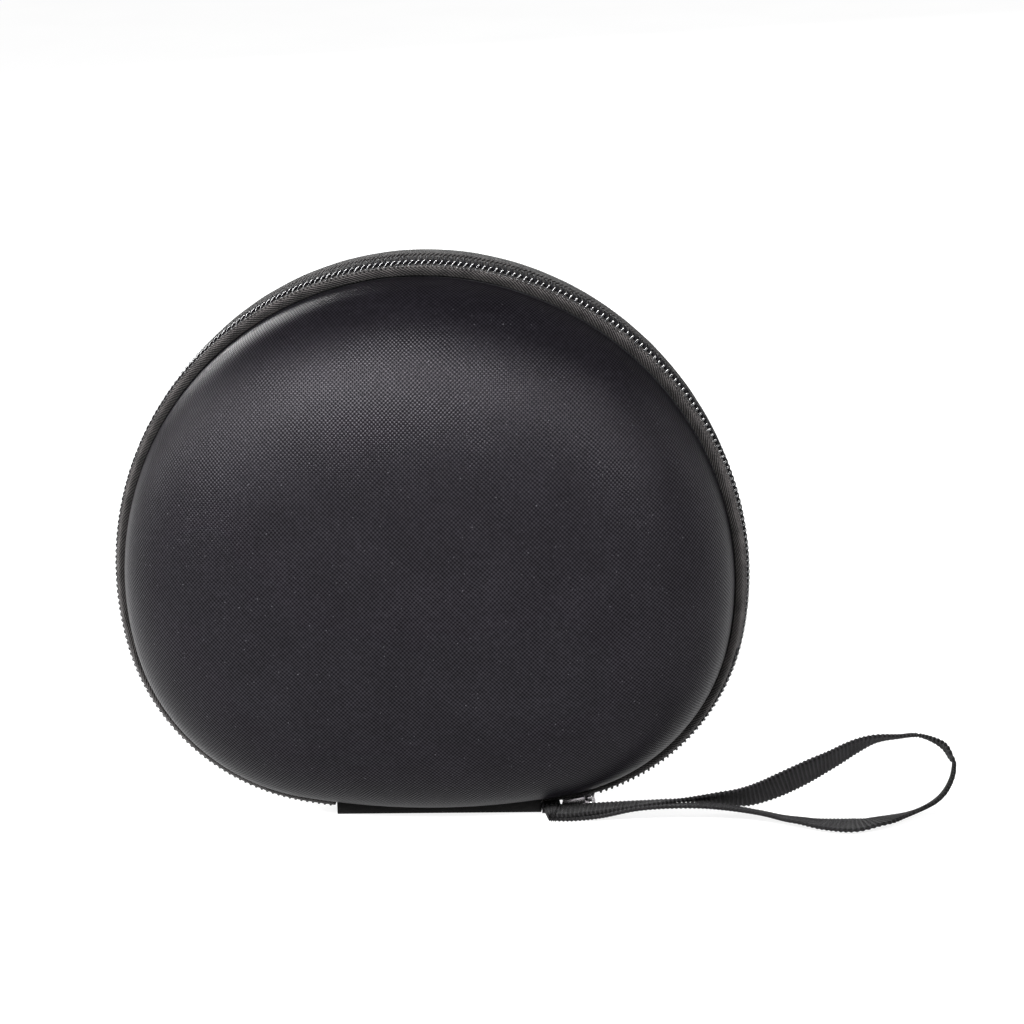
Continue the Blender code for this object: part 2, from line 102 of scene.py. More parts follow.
# The strap's route as the CAD part has it, in millimetres, with the turn of its face about it in degrees.
# Each end is tucked a little further into the anchor's fold.
STRAP_TUCK = 1.0
STRAP_ROUTE = (
    (31.4, -9.2, 0.6, 0), (36.0, -9.4, 0.65, 0), (43.0, -10.0, 1.2, -4), (52.5, -11.7, 3.02, -12),
    (62.8, -12.4, 3.8, -12), (72.4, -12.7, 3.5, -12), (82.3, -14.8, 2.6, -15), (88.9, -17.2, 1.9, -15),
    (94.4, -19.9, 1.8, -11), (100.2, -21.8, 1.48, -3), (107.4, -22.7, 1.4, 1), (112.8, -21.3, 1.8, -6),
    (117.3, -18.1, 1.92, -12), (122.8, -14.3, 2.3, -22), (126.8, -9.9, 3.0, -21), (129.7, -5.6, 4.4, -18),
    (131.7, -1.3, 6.68, -11), (132.5, 1.4, 9.37, -2), (132.0, 2.2, 11.25, 12), (129.4, 4.3, 14.23, 22),
    (123.7, 6.0, 16.27, 16), (118.3, 4.9, 16.3, 19), (112.5, 2.9, 16.2, 27), (107.4, 1.1, 14.85, 35),
    (101.0, -1.6, 12.15, 42), (96.5, -3.5, 10.4, 48), (90.4, -5.5, 8.0, 51), (84.5, -6.7, 5.8, 49),
    (79.0, -7.7, 4.5, 45), (72.5, -8.2, 4.3, 33), (61.2, -8.2, 3.75, 16), (52.9, -8.9, 3.2, 9),
    (43.0, -9.0, 2.3, 3), (36.0, -9.1, 1.75, 0), (31.4, -9.2, 1.65, 0),
)


# ---------------- materials

class Shader:
    """One material, with short calls for the nodes that its patterns are made of."""

    def __init__(self, name, colour, roughness, metallic=0.0, specular=0.5):
        self.material = bpy.data.materials.new(name)
        self.material.use_nodes = True
        self.nodes = self.material.node_tree.nodes
        self.links = self.material.node_tree.links
        self.bsdf = self.nodes["Principled BSDF"]
        self.set("Base Color", (*colour, 1.0))
        self.set("Roughness", roughness)
        self.set("Metallic", metallic)
        self.set("Specular IOR Level", specular)

    def set(self, socket, value):
        self.bsdf.inputs[socket].default_value = value

    def link(self, value, socket):
        if isinstance(value, bpy.types.NodeSocket):
            self.links.new(value, socket)
        else:
            socket.default_value = value

    def maths(self, operation, first, second=0.0, third=None):
        node = self.nodes.new("ShaderNodeMath")
        node.operation = operation
        self.link(first, node.inputs[0])
        self.link(second, node.inputs[1])
        if third is not None:
            self.link(third, node.inputs[2])
        return node.outputs[0]

    def object_place(self):
        return self.nodes.new("ShaderNodeTexCoord").outputs["Object"]

    def object_facing(self):
        return self.nodes.new("ShaderNodeTexCoord").outputs["Normal"]

    def cloth_place(self):
        node = self.nodes.new("ShaderNodeAttribute")
        node.attribute_name = "cloth"
        return node.outputs["Vector"]

    def axes(self, vector):
        node = self.nodes.new("ShaderNodeSeparateXYZ")
        self.links.new(vector, node.inputs[0])
        return node.outputs

    def scaled(self, vector, scale):
        node = self.nodes.new("ShaderNodeMapping")
        self.links.new(vector, node.inputs["Vector"])
        node.inputs["Scale"].default_value = scale
        return node.outputs[0]

    def grain(self, vector, size, detail=2.0, roughness=0.5):
        """Noise whose grains are about this size in metres."""
        node = self.nodes.new("ShaderNodeTexNoise")
        node.inputs["Scale"].default_value = 1.0 / size
        node.inputs["Detail"].default_value = detail
        node.inputs["Roughness"].default_value = roughness
        self.links.new(vector, node.inputs["Vector"])
        return node.outputs["Fac"]

    def wave(self, value, period):
        """0 to 1 and back over each period along a coordinate."""
        turned = self.maths("MULTIPLY", value, 2 * math.pi / period)
        return self.maths("MULTIPLY_ADD", self.maths("SINE", turned), 0.5, 0.5)

    def ramp(self, factor, *stops):
        """Colours by position along the factor: (position, (r, g, b)) pairs."""
        node = self.nodes.new("ShaderNodeValToRGB")
        elements = node.color_ramp.elements
        while len(elements) < len(stops):
            elements.new(0.5)
        for element, (place, colour) in zip(elements, stops):
            element.position = place
            element.color = (*colour, 1.0)
        self.links.new(factor, node.inputs["Fac"])
        return node.outputs["Color"]

    def blend(self, factor, first, second):
        node = self.nodes.new("ShaderNodeMix")
        node.data_type = "RGBA"
        self.link(factor, node.inputs["Factor"])
        self.link(first, node.inputs[6])
        self.link(second, node.inputs[7])
        return node.outputs[2]

    def ranged(self, value, low, high, to_low, to_high):
        node = self.nodes.new("ShaderNodeMapRange")
        for socket, number in zip(node.inputs[1:5], (low, high, to_low, to_high)):
            socket.default_value = number
        self.links.new(value, node.inputs[0])
        return node.outputs[0]

    def bump(self, height, depth):
        node = self.nodes.new("ShaderNodeBump")
        node.inputs["Distance"].default_value = depth
        self.links.new(height, node.inputs["Height"])
        return node.outputs[0]

    def finish(self, colour, roughness, normal, sheen=0.0):
        self.links.new(colour, self.bsdf.inputs["Base Color"])
        if roughness is not None:
            self.links.new(roughness, self.bsdf.inputs["Roughness"])
        self.links.new(normal, self.bsdf.inputs["Normal"])
        if sheen:
            self.set("Sheen Weight", sheen)
            self.set("Sheen Roughness", 0.45)
        return self.material


def knit_material():
    """Plain-woven cover fabric, near black with a violet cast, uneven yarns and a few light lint specks. Its
    shine is cut on the parts facing down, as painted shade.
    """
    s = Shader("knit_fabric", (0.004, 0.0038, 0.0046), 0.36, specular=0.15)
    s.set("Specular Tint", (0.98, 0.93, 1.0, 1.0))
    cloth = s.cloth_place()
    warp = s.grain(cloth, 9 * MM, 1.0)
    u, v, _ = s.axes(cloth)
    drift = s.maths("MULTIPLY", warp, 0.8 * MM)
    thread = 1.06 * MM
    across = s.maths("MULTIPLY_ADD", s.wave(s.maths("ADD", u, drift), thread), 2.0, -1.0)
    along = s.maths("MULTIPLY_ADD", s.wave(s.maths("ADD", v, drift), thread), 2.0, -1.0)
    weave = s.maths("MULTIPLY_ADD", s.maths("MULTIPLY", across, along), 0.5, 0.5)
    fibres = s.grain(cloth, 0.35 * MM, 2.0, 0.7)
    height = s.maths("MULTIPLY_ADD", fibres, 0.5, weave)
    yarn = s.grain(cloth, 1.6 * MM, 3.0)
    patches = s.grain(cloth, 14 * MM, 3.0)
    tone = s.maths("MULTIPLY_ADD", patches, 0.3, s.maths("MULTIPLY", weave, 0.4))
    tone = s.maths("MULTIPLY_ADD", yarn, 0.4, tone)
    colour = s.ramp(
        tone,
        (0.2, (0.0008, 0.0007, 0.001)),
        (0.55, (0.0036, 0.0032, 0.0044)),
        (0.95, (0.013, 0.012, 0.015)),
    )
    lint = s.ranged(s.grain(cloth, 0.62 * MM, 0.0), 0.83, 0.86, 0.0, 0.5)
    colour = s.blend(lint, colour, (0.09, 0.088, 0.098, 1.0))
    # Painted shade: the shine is cut on the parts facing down, so the cover's undersides read darker.
    facing_up = s.axes(s.object_facing())[2]
    painted_underside_shade = s.ranged(facing_up, -0.9, -0.15, 0.15, 1.0)
    shine = s.maths("MULTIPLY", s.ranged(weave, 0.15, 0.85, 0.04, 0.22), painted_underside_shade)
    s.link(shine, s.bsdf.inputs["Specular IOR Level"])
    rough = s.ranged(weave, 0.0, 1.0, 0.4, 0.3)
    return s.finish(colour, rough, s.bump(height, 0.075 * MM))


def lining_material():
    """Brushed charcoal knit inside the case."""
    s = Shader("brushed_lining", (0.05, 0.05, 0.055), 0.95, specular=0.15)
    place = s.object_place()
    nap = s.grain(place, 0.5 * MM, 4.0, 0.7)
    streaks = s.grain(s.scaled(place, (1.0, 1.0, 0.2)), 2.5 * MM, 3.0)
    tone = s.maths("MULTIPLY_ADD", nap, 0.6, s.maths("MULTIPLY", streaks, 0.4))
    colour = s.ramp(tone, (0.3, (0.014, 0.014, 0.016)), (0.7, (0.05, 0.05, 0.055)))
    return s.finish(colour, None, s.bump(tone, 0.25 * MM), 0.2)


def foam_material():
    s = Shader("moulded_foam", (0.03, 0.03, 0.033), 0.85, specular=0.3)
    place = s.object_place()
    pores = s.grain(place, 0.6 * MM, 3.0, 0.6)
    colour = s.ramp(pores, (0.3, (0.006, 0.006, 0.007)), (0.75, (0.016, 0.016, 0.018)))
    return s.finish(colour, None, s.bump(pores, 0.12 * MM))


def tape_material(name, light, groove_shade_start):
    """Twill tape: slanted ribs of dull and brighter yarn, grey where rubbed, with painted shade that darkens
    it away from the seam, where it rolls down into the groove.
    """
    # light scales this copy's colour and shine. The rear copy is darker, which is painted shade: both tapes
    # are the same cloth.
    s = Shader(name, (0.01, 0.01, 0.01), 0.7, specular=0.1 * light)
    cloth = s.cloth_place()
    u, v, _ = s.axes(cloth)
    wobble = s.maths("MULTIPLY", s.grain(cloth, 3 * MM, 1.0), 0.5 * MM)
    diagonal = s.maths("ADD", s.maths("MULTIPLY_ADD", v, 1.6, u), wobble)
    rib = s.wave(diagonal, 1.1 * MM)
    pick = s.wave(v, 0.46 * MM)
    fibres = s.grain(cloth, 0.3 * MM, 2.0, 0.7)
    height = s.maths("MULTIPLY_ADD", pick, 0.35, s.maths("MULTIPLY_ADD", fibres, 0.5, rib))
    worn = s.grain(cloth, 4.0 * MM, 3.0)
    tone = s.maths("MULTIPLY_ADD", worn, 0.4, s.maths("MULTIPLY", height, 0.4))
    colour = s.ramp(
        tone,
        (0.38, (0.0005, 0.0005, 0.0006)),
        (0.58, (0.011 * light, 0.0105 * light, 0.011 * light)),
        (0.78, (0.11 * light, 0.1 * light, 0.098 * light)),
    )
    # Painted shade: beyond the given distance from the seam plane the colour goes near black, as the shade
    # in the groove by the cover's edge. It falls on every piece in this material, the bindings and hinge
    # strip too.
    out_from_seam = s.maths("ABSOLUTE", s.axes(s.object_place())[1])
    groove_shade_mix = s.ranged(out_from_seam, groove_shade_start, groove_shade_start + 1.0 * MM, 0.0, 0.85)
    colour = s.blend(groove_shade_mix, colour, (0.0006, 0.0006, 0.0006, 1.0))
    return s.finish(colour, None, s.bump(height, 0.14 * MM), 0.05)


def nylon_material(name, specular, roughness):
    """Black monofilament."""
    s = Shader(name, (0.008, 0.008, 0.009), 0.2, specular=specular)
    place = s.object_place()
    scuffs = s.grain(place, 0.8 * MM, 3.0, 0.6)
    colour = s.ramp(scuffs, (0.3, (0.004, 0.004, 0.005)), (0.8, (0.014, 0.014, 0.016)))
    rough = s.ranged(scuffs, 0.3, 0.8, roughness, roughness + 0.16)
    return s.finish(colour, rough, s.bump(scuffs, 0.02 * MM))


def webbing_material():
    """Flat ribbed webbing: the ribs are in the mesh, the fine warp yarns are here."""
    s = Shader("ribbed_webbing", (0.006, 0.006, 0.0066), 0.7, specular=0.04)
    cloth = s.cloth_place()
    u, v, _ = s.axes(cloth)
    rib = s.wave(u, WEBBING_RIB)
    warp = s.wave(s.maths("MULTIPLY_ADD", rib, 0.12 * MM, v), 0.42 * MM)
    fibres = s.grain(s.scaled(cloth, (0.3, 1.0, 1.0)), 0.3 * MM, 2.0, 0.7)
    height = s.maths("MULTIPLY_ADD", fibres, 0.6, warp)
    worn = s.grain(cloth, 5.0 * MM, 3.0)
    tone = s.maths("MULTIPLY_ADD", height, 0.2, s.maths("MULTIPLY_ADD", rib, -0.4, 0.4))
    tone = s.maths("MULTIPLY_ADD", worn, 0.25, tone)
    colour = s.ramp(
        tone,
        (0.28, (0.0003, 0.0003, 0.0003)),
        (0.5, (0.004, 0.0038, 0.0042)),
        (0.72, (0.023, 0.0215, 0.024)),
    )
    return s.finish(colour, None, s.bump(height, 0.1 * MM), 0.05)


def thread_material():
    s = Shader("sewing_thread", (0.05, 0.05, 0.052), 0.5, specular=0.5)
    place = s.object_place()
    ply = s.grain(place, 0.25 * MM, 2.0)
    colour = s.ramp(ply, (0.3, (0.006, 0.006, 0.0065)), (0.75, (0.045, 0.043, 0.042)))
    return s.finish(colour, None, s.bump(ply, 0.08 * MM), 0.05)


def net_material():
    s = Shader("pocket_net", (0.035, 0.035, 0.038), 0.55, specular=0.5)
    place = s.object_place()
    fibres = s.grain(place, 0.25 * MM, 3.0, 0.7)
    colour = s.ramp(fibres, (0.3, (0.015, 0.015, 0.017)), (0.8, (0.07, 0.07, 0.076)))
    return s.finish(colour, None, s.bump(fibres, 0.1 * MM), 0.1)


def nickel_material():
    """Bright nickel with fine lengthwise brush lines and dull worn patches."""
    s = Shader("nickel_plate", (0.62, 0.6, 0.61), 0.22, metallic=1.0)
    cloth = s.cloth_place()
    brush = s.grain(s.scaled(cloth, (0.05, 1.0, 1.0)), 0.28 * MM, 2.0, 0.7)
    worn = s.grain(cloth, 1.6 * MM, 2.0)
    tone = s.maths("MULTIPLY_ADD", brush, 0.6, s.maths("MULTIPLY", worn, 0.4))
    colour = s.ramp(tone, (0.3, (0.3, 0.28, 0.29)), (0.5, (0.56, 0.53, 0.55)), (0.72, (0.9, 0.88, 0.9)))
    rough = s.ranged(tone, 0.3, 0.75, 0.36, 0.14)
    return s.finish(colour, rough, s.bump(brush, 0.03 * MM))


def floor_material():
    s = Shader("studio_floor", (0.45, 0.45, 0.45), 0.8, specular=0.0)
    s.set("Emission Color", (1.0, 1.0, 1.0, 1.0))
    s.set("Emission Strength", 0.87)
    place = s.object_place()
    mottle = s.grain(place, 60 * MM, 3.0)
    colour = s.ramp(mottle, (0.3, (0.25, 0.25, 0.252)), (0.7, (0.28, 0.28, 0.28)))
    return s.finish(colour, None, s.bump(mottle, 0.05 * MM))


MATERIALS = {
    "knit": knit_material(),
    "lining": lining_material(),
    "foam": foam_material(),
    # The third number is where the tape's painted groove shade starts; on the rear tape it lies past the
    # tape, so that tape has none.
    "tape": tape_material("zip_tape", 1.0, 4.4 * MM),
    # The rear half's tape: the same tape with its colour and shine scaled down, as painted shade.
    "shaded_rear_tape": tape_material("rear_zip_tape", 0.35, 50 * MM),
    "nylon": nylon_material("nylon_coil", 0.7, 0.16),
    # The rear half's coil: the same nylon as the lid's coil with its shine cut, as painted shade that holds
    # back its glints.
    "shaded_rear_nylon": nylon_material("rear_nylon_coil", 0.06, 0.6),
    "webbing": webbing_material(),
    "thread": thread_material(),
    "net": net_material(),
    "nickel": nickel_material(),
}


# ---------------- outline of the rim

def arc_centres():
    """Centres (x, z) of the top, right corner and bottom arcs, and the bottom arc's radius."""
    corner_x = (TOP_RADIUS - CORNER_RADIUS) * math.cos(TOP_ARC_END)
    bottom_radius = CORNER_RADIUS + corner_x / math.cos(CORNER_ARC_END)
    bottom_z = CREST_BOTTOM_Z + bottom_radius
    corner_z = bottom_z + (bottom_radius - CORNER_RADIUS) * math.sin(CORNER_ARC_END)
    top_z = corner_z - (TOP_RADIUS - CORNER_RADIUS) * math.sin(TOP_ARC_END)
    return (0.0, top_z), (corner_x, corner_z), (0.0, bottom_z), bottom_radius


TOP_CENTRE, CORNER_CENTRE, BOTTOM_CENTRE, BOTTOM_RADIUS = arc_centres()
CREST_TOP_Z = TOP_CENTRE[1] + TOP_RADIUS
DOME_CENTRE_Z = (CREST_BOTTOM_Z + CREST_TOP_Z) / 2


def lifted(points):
    """Adds the small rise that the coil and the rear half have near the top to an array of (x, y, z)."""
    reach = np.clip(points[..., 1], LIFT_START_Y, LIFT_END_Y) - LIFT_START_Y
    height = np.clip(points[..., 2] / CREST_TOP_Z, 0.0, None) ** 3
    points[..., 2] += LIFT_SLOPE * reach * height
    return points


def rim_flat(angles, rise):
    """x and z arrays of the outline moved out by rise, at these normal angles."""
    mirrored = np.cos(angles) < 0
    right = np.where(mirrored, math.pi - angles, angles)
    right = np.arctan2(np.sin(right), np.cos(right))
    top = right >= TOP_ARC_END
    corner = ~top & (right >= CORNER_ARC_END)
    centre_x = np.where(corner, CORNER_CENTRE[0], 0.0)
    centre_z = np.where(top, TOP_CENTRE[1], np.where(corner, CORNER_CENTRE[1], BOTTOM_CENTRE[1]))
    radius = np.where(top, TOP_RADIUS, np.where(corner, CORNER_RADIUS, BOTTOM_RADIUS)) + rise
    x = centre_x + radius * np.cos(right)
    z = centre_z + radius * np.sin(right)
    return np.where(mirrored, -x, x), z


def angle_at(x):
    """Normal angle of the crest's lower right stretch at this x."""
    if x < BOTTOM_RADIUS * math.cos(CORNER_ARC_END):
        return -math.acos(x / BOTTOM_RADIUS)
    return -math.acos((x - CORNER_CENTRE[0]) / CORNER_RADIUS)


ROUND_START = -math.pi / 2
DENSE_ANGLES = np.linspace(ROUND_START, ROUND_START + 2 * math.pi, 7201)
DENSE_X, DENSE_Z = rim_flat(DENSE_ANGLES, 0.0)
DENSE_LENGTH = np.concatenate([[0.0], np.cumsum(np.hypot(np.diff(DENSE_X), np.diff(DENSE_Z)))])
ROUND_LENGTH = DENSE_LENGTH[-1]


def length_at(angle):
    return float(np.interp(angle, DENSE_ANGLES, DENSE_LENGTH))


def angles_at(lengths):
    return np.interp(lengths, DENSE_LENGTH, DENSE_ANGLES)


def rim_point(side, lengths, depth, rise):
    """Points at these lengths round the crest, at a depth on one side and a rise, all arrays or numbers."""
    x, z = rim_flat(angles_at(lengths), rise)
    y = side * depth + np.zeros_like(x)
    return lifted(np.stack([x, y, z], axis=-1))


def zip_point(side, lengths, depth, rise):
    """The same near the coil, where the closed zip leans towards the lid a little at the top."""
    x, z = rim_flat(angles_at(lengths), rise)
    lean = ZIP_LEAN * np.clip(z / CREST_TOP_Z, 0.0, None) ** 3
    y = side * depth + np.zeros_like(x) - lean
    points = lifted(np.stack([x, y, z], axis=-1))
    points[..., 2] -= ZIP_SINK * (lean / ZIP_LEAN)
    return points


# ---------------- mesh helpers

def grid_faces(rows, columns, wrap_rows=False, wrap_columns=False):
    row = np.arange(rows if wrap_rows else rows - 1)
    column = np.arange(columns if wrap_columns else columns - 1)
    r, c = np.meshgrid(row, column, indexing="ij")
    below = (r + 1) % rows
    beside = (c + 1) % columns
    corners = [r * columns + c, r * columns + beside, below * columns + beside, below * columns + c]
    return np.stack(corners, axis=-1).reshape(-1, 4)


def unit(rows):
    """Each row of an array made one long."""
    return rows / np.linalg.norm(rows, axis=1)[:, None]


def cloth_grid(along, across):
    """Weave places of a grid of points, row by row."""
    u, v = np.meshgrid(along, across, indexing="ij")
    return np.stack([u, v], axis=-1).reshape(-1, 2)


def add_object(name, data):
    made = bpy.data.objects.new(name, data)
    bpy.context.scene.collection.objects.link(made)
    return made


def made_from(name, shape, material):
    """An object made from a bmesh, which it frees."""
    mesh = bpy.data.meshes.new(name)
    shape.to_mesh(mesh)
    shape.free()
    mesh.materials.append(MATERIALS[material])
    return add_object(name, mesh)


def add_mesh(name, points, faces, material, cloth=None):
    """Makes an object. cloth holds each point's place along and across the weave, in metres."""
    mesh = bpy.data.meshes.new(name)
    mesh.from_pydata(np.asarray(points).tolist(), [], [list(map(int, face)) for face in faces])
    mesh.materials.append(MATERIALS[material])
    if cloth is not None:
        place = mesh.attributes.new("cloth", "FLOAT_VECTOR", "POINT")
        flat = np.zeros((len(points), 3), np.float32)
        flat[:, : cloth.shape[1]] = cloth
        place.data.foreach_set("vector", flat.ravel())
    shape = bmesh.new()
    shape.from_mesh(mesh)
    bmesh.ops.recalc_face_normals(shape, faces=shape.faces)
    shape.to_mesh(mesh)
    shape.free()
    mesh.shade_smooth()
    return add_object(name, mesh)


def sweep(name, rings, material, closed_rows=False, cloth=None):
    """A solid skinned over closed rings, (rows, points, 3), with its ends capped unless it closes."""
    rows, count = rings.shape[:2]
    faces = grid_faces(rows, count, closed_rows, True).tolist()
    if not closed_rows:
        faces.append(list(range(count)))
        faces.append(list(range((rows - 1) * count, rows * count)))
    return add_mesh(name, rings.reshape(-1, 3), faces, material, cloth)


def ring_cloth(lengths, profile):
    """Weave places for a strip swept round the rim: length along it, and distance round its section."""
    steps = np.hypot(*np.diff(np.vstack([profile, profile[:1]]), axis=0).T)
    return cloth_grid(lengths, np.concatenate([[0.0], np.cumsum(steps)[:-1]]))


def widened(section, side, beyond):
    """A section in metres, whose points beyond this depth are moved out to the rear half's wider rim."""
    wider = RIM_DEPTH[side] - RIM_DEPTH[-1]
    return [(depth * MM + (wider if depth > beyond else 0.0), rise * MM) for depth, rise in section]


def rounded(profile, cuts=2):
    """A closed section (depth, rise) with each corner softened: Chaikin's corner cutting."""
    points = np.array(profile, float)
    for _ in range(cuts):
        ahead = np.roll(points, -1, axis=0)
        cut = [0.75 * points + 0.25 * ahead, 0.25 * points + 0.75 * ahead]
        points = np.stack(cut, axis=1).reshape(-1, 2)
    return points


def strip_lengths(first, last, spacing):
    return np.linspace(first, last, int(round((last - first) / spacing)) + 1)


def wavy(points, size, amount, seed):
    """Moves points a little by smooth noise, the same way each run."""
    offset = Vector((seed * 3.1, seed * 1.7, seed * 0.9))
    for point in points.reshape(-1, 3):
        point += np.array(noise.noise_vector(Vector(point) / size + offset)) * amount
    return points


def place(piece, body, slot, *nodes):
    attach(piece, body)
    if nodes:
        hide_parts(*nodes)
    return piece


# ---------------- covers, shells and linings

AROUND = 360
AROUND_LENGTHS = np.linspace(0, ROUND_LENGTH, AROUND + 1)[:-1]


def even_levels(span, height, count):
    """Levels u from rim to crown, evenly spaced along a dome of this half width and height."""
    swing = np.linspace(0, math.pi / 2, 4001)
    u = np.sin(swing)
    s = np.cos(swing) ** (2 / DOME_POWER)
    length = np.concatenate([[0.0], np.cumsum(np.hypot(np.diff(s) * span, np.diff(u) * height))])
    even = np.interp(np.linspace(0, length[-1], count), length, u)
    return even[:-1], length[-1]


def dome_rows(side, rim_depth, rise, crown, count):
    """Rings of a dome from rim to near its crown, the crown point, and each ring's weave places."""
    x, z = rim_flat(angles_at(AROUND_LENGTHS), rise)
    span = TOP_RADIUS + rise
    levels, meridian = even_levels(span, crown - rim_depth, count)
    rows, places = [], []
    for k, level in enumerate(levels):
        scale = (1 - level**2) ** (1 / DOME_POWER)
        row_x, row_z = x * scale, (z - DOME_CENTRE_Z) * scale
        depth = rim_depth + level * (crown - rim_depth)
        rows.append(np.stack([row_x, np.full_like(x, side * depth), row_z + DOME_CENTRE_Z], axis=-1))
        reach = meridian * (1 - k / (count - 1)) / span
        places.append(np.stack([x * reach, (z - DOME_CENTRE_Z) * reach], axis=-1))
    crown_point = np.array([[0.0, side * crown, DOME_CENTRE_Z]])
    return [lifted(row) for row in rows], lifted(crown_point), places


def dome_piece(name, side, inner, outer, edge, material):
    """A closed skin from its inner crown to its outer crown, with extra rim rings between the two domes."""
    inner_rows, inner_crown, inner_places = inner
    outer_rows, outer_crown, outer_places = outer
    edge_rows = [rim_point(side, AROUND_LENGTHS, depth, rise) for depth, rise in edge]
    rows = inner_rows[::-1] + edge_rows + outer_rows
    places = inner_places[::-1] + [outer_places[0]] * len(edge_rows) + outer_places
    points = np.concatenate(rows + [inner_crown, outer_crown])
    faces = grid_faces(len(rows), AROUND, False, True).tolist()
    last = (len(rows) - 1) * AROUND
    inner_tip, outer_tip = len(points) - 2, len(points) - 1
    for i in range(AROUND):
        j = (i + 1) % AROUND
        faces.append([j, i, inner_tip])
        faces.append([last + i, last + j, outer_tip])
    cloth = np.concatenate(places + [np.zeros((2, 2))])
    return add_mesh(name, points, faces, material, cloth)


def make_cover(prefix, side, body):
    depth = RIM_DEPTH[side]
    low, top = COVER_RISE - COVER_THICKNESS, COVER_RISE
    inner = dome_rows(side, depth + 0.4 * MM, low, CASE_DEPTH - COVER_THICKNESS, count=24)
    outer = dome_rows(side, depth + 0.5 * MM, top, CASE_DEPTH, count=110)
    edge = (
        (depth + 0.12 * MM, low), (depth, low + 0.12 * MM), (depth - 0.05 * MM, (low + top) / 2),
        (depth, top - 0.14 * MM), (depth + 0.12 * MM, top - 0.03 * MM), (depth + 0.28 * MM, top),
    )
    cover = dome_piece(prefix + "_cover", side, inner, outer, edge, "knit")
    place(cover, body, "knit", prefix + "_cover")


def make_shell(prefix, side, body):
    depth = RIM_DEPTH[side]
    wider = depth - RIM_DEPTH[-1]
    inner_rise = SHELL_RISE - SHELL_THICKNESS
    inner = dome_rows(side, depth, inner_rise, SHELL_CROWN - SHELL_THICKNESS, count=30)
    outer = dome_rows(side, depth, SHELL_RISE, SHELL_CROWN, count=40)
    edge = (
        (1.3 * MM, inner_rise), (1.1 * MM, inner_rise + 0.3 * MM), (1.1 * MM, -3.8 * MM),
        (1.4 * MM, -3.5 * MM), (2.9 * MM, -3.5 * MM), (3.2 * MM, -3.2 * MM), (3.2 * MM, -2.1 * MM),
        (3.5 * MM + wider, -1.97 * MM), (4.0 * MM + wider, -2.2 * MM), (4.3 * MM + wider, -2.7 * MM),
        (4.35 * MM + wider, SHELL_RISE),
    )
    shell = dome_piece(prefix + "_shell", side, inner, outer, edge, "foam")
    place(shell, body, "foam", prefix + "_shell")


def make_lining(prefix, side, body):
    depth = RIM_DEPTH[side]
    start = depth + 0.3 * MM
    inner_rise, inner_crown = LINING_RISE - LINING_THICKNESS, LINING_CROWN - LINING_THICKNESS
    inner = dome_rows(side, start, inner_rise, inner_crown, count=60)
    outer = dome_rows(side, start, LINING_RISE, LINING_CROWN, count=30)
    edge = ((depth, LINING_RISE - 0.4 * MM), (depth, LINING_RISE - 0.2 * MM))
    lining = dome_piece(prefix + "_lining", side, inner, outer, edge, "lining")
    place(lining, body, "lining", prefix + "_lining")


# ---------------- zip

def strip_ends():
    first = length_at(angle_at(HINGE_HALF_LENGTH + 0.9 * MM))
    return first, ROUND_LENGTH - first


def make_tape(prefix, side, body):
    """The zip's woven tape: flat under the coil, then rolled over the shell's flange and tucked in."""
    section = (
        (0.7, -0.62), (2.5, -0.6), (3.2, -0.66), (3.6, -0.95), (4.5, -1.3), (5.15, -1.9), (5.3, -2.7),
        (5.2, -3.3), (4.75, -3.3), (4.65, -2.6), (4.4, -2.0), (3.45, -1.55), (0.7, -1.5),
    )
    profile = rounded(widened(section, side, beyond=3.45))
    first, last = strip_ends()
    lengths = strip_lengths(first, last, 0.3 * MM)
    cloth = ring_cloth(lengths, profile)
    twill = 2 * math.pi * (cloth[:, 0] + side * cloth[:, 1]) / (0.92 * MM)
    swell = 0.045 * MM * np.cos(twill).reshape(len(lengths), -1)
    outward = unit(profile - profile.mean(axis=0))
    beside_slider = (lengths < length_at(SLIDER_ANGLE) + COIL_START[-1]) & (side < 0)
    under_travel = (lengths < length_at(SLIDER_ANGLE + SLIDER_RUN) + 6 * MM) & (side < 0)
    narrowed, flange_edge, lowered, coil_edge = 4.05 * MM, 4.7 * MM, -1.15 * MM, 3.65 * MM
    rings = np.empty((len(lengths), len(profile), 3))
    for k, (d, r) in enumerate(profile):
        near = beside_slider & (d < narrowed)
        depth = np.where(near, narrowed, d)
        rise = np.where(near, np.clip(r, -1.8 * MM, -1.2 * MM), r)
        rise = np.where(under_travel & (d < flange_edge), np.minimum(rise, lowered), rise)
        point = zip_point if d < coil_edge else rim_point
        depth = depth + outward[k, 0] * swell[:, k]
        rise = rise + outward[k, 1] * swell[:, k]
        rings[:, k] = point(side, lengths, depth, rise)
    rings = wavy(rings, size=5 * MM, amount=0.06 * MM, seed=2 + side)
    tape = sweep(prefix + "_zip_tape", rings, "shaded_rear_tape" if side > 0 else "tape", False, cloth)
    place(tape, body, "tape", prefix + "_zip_tape")


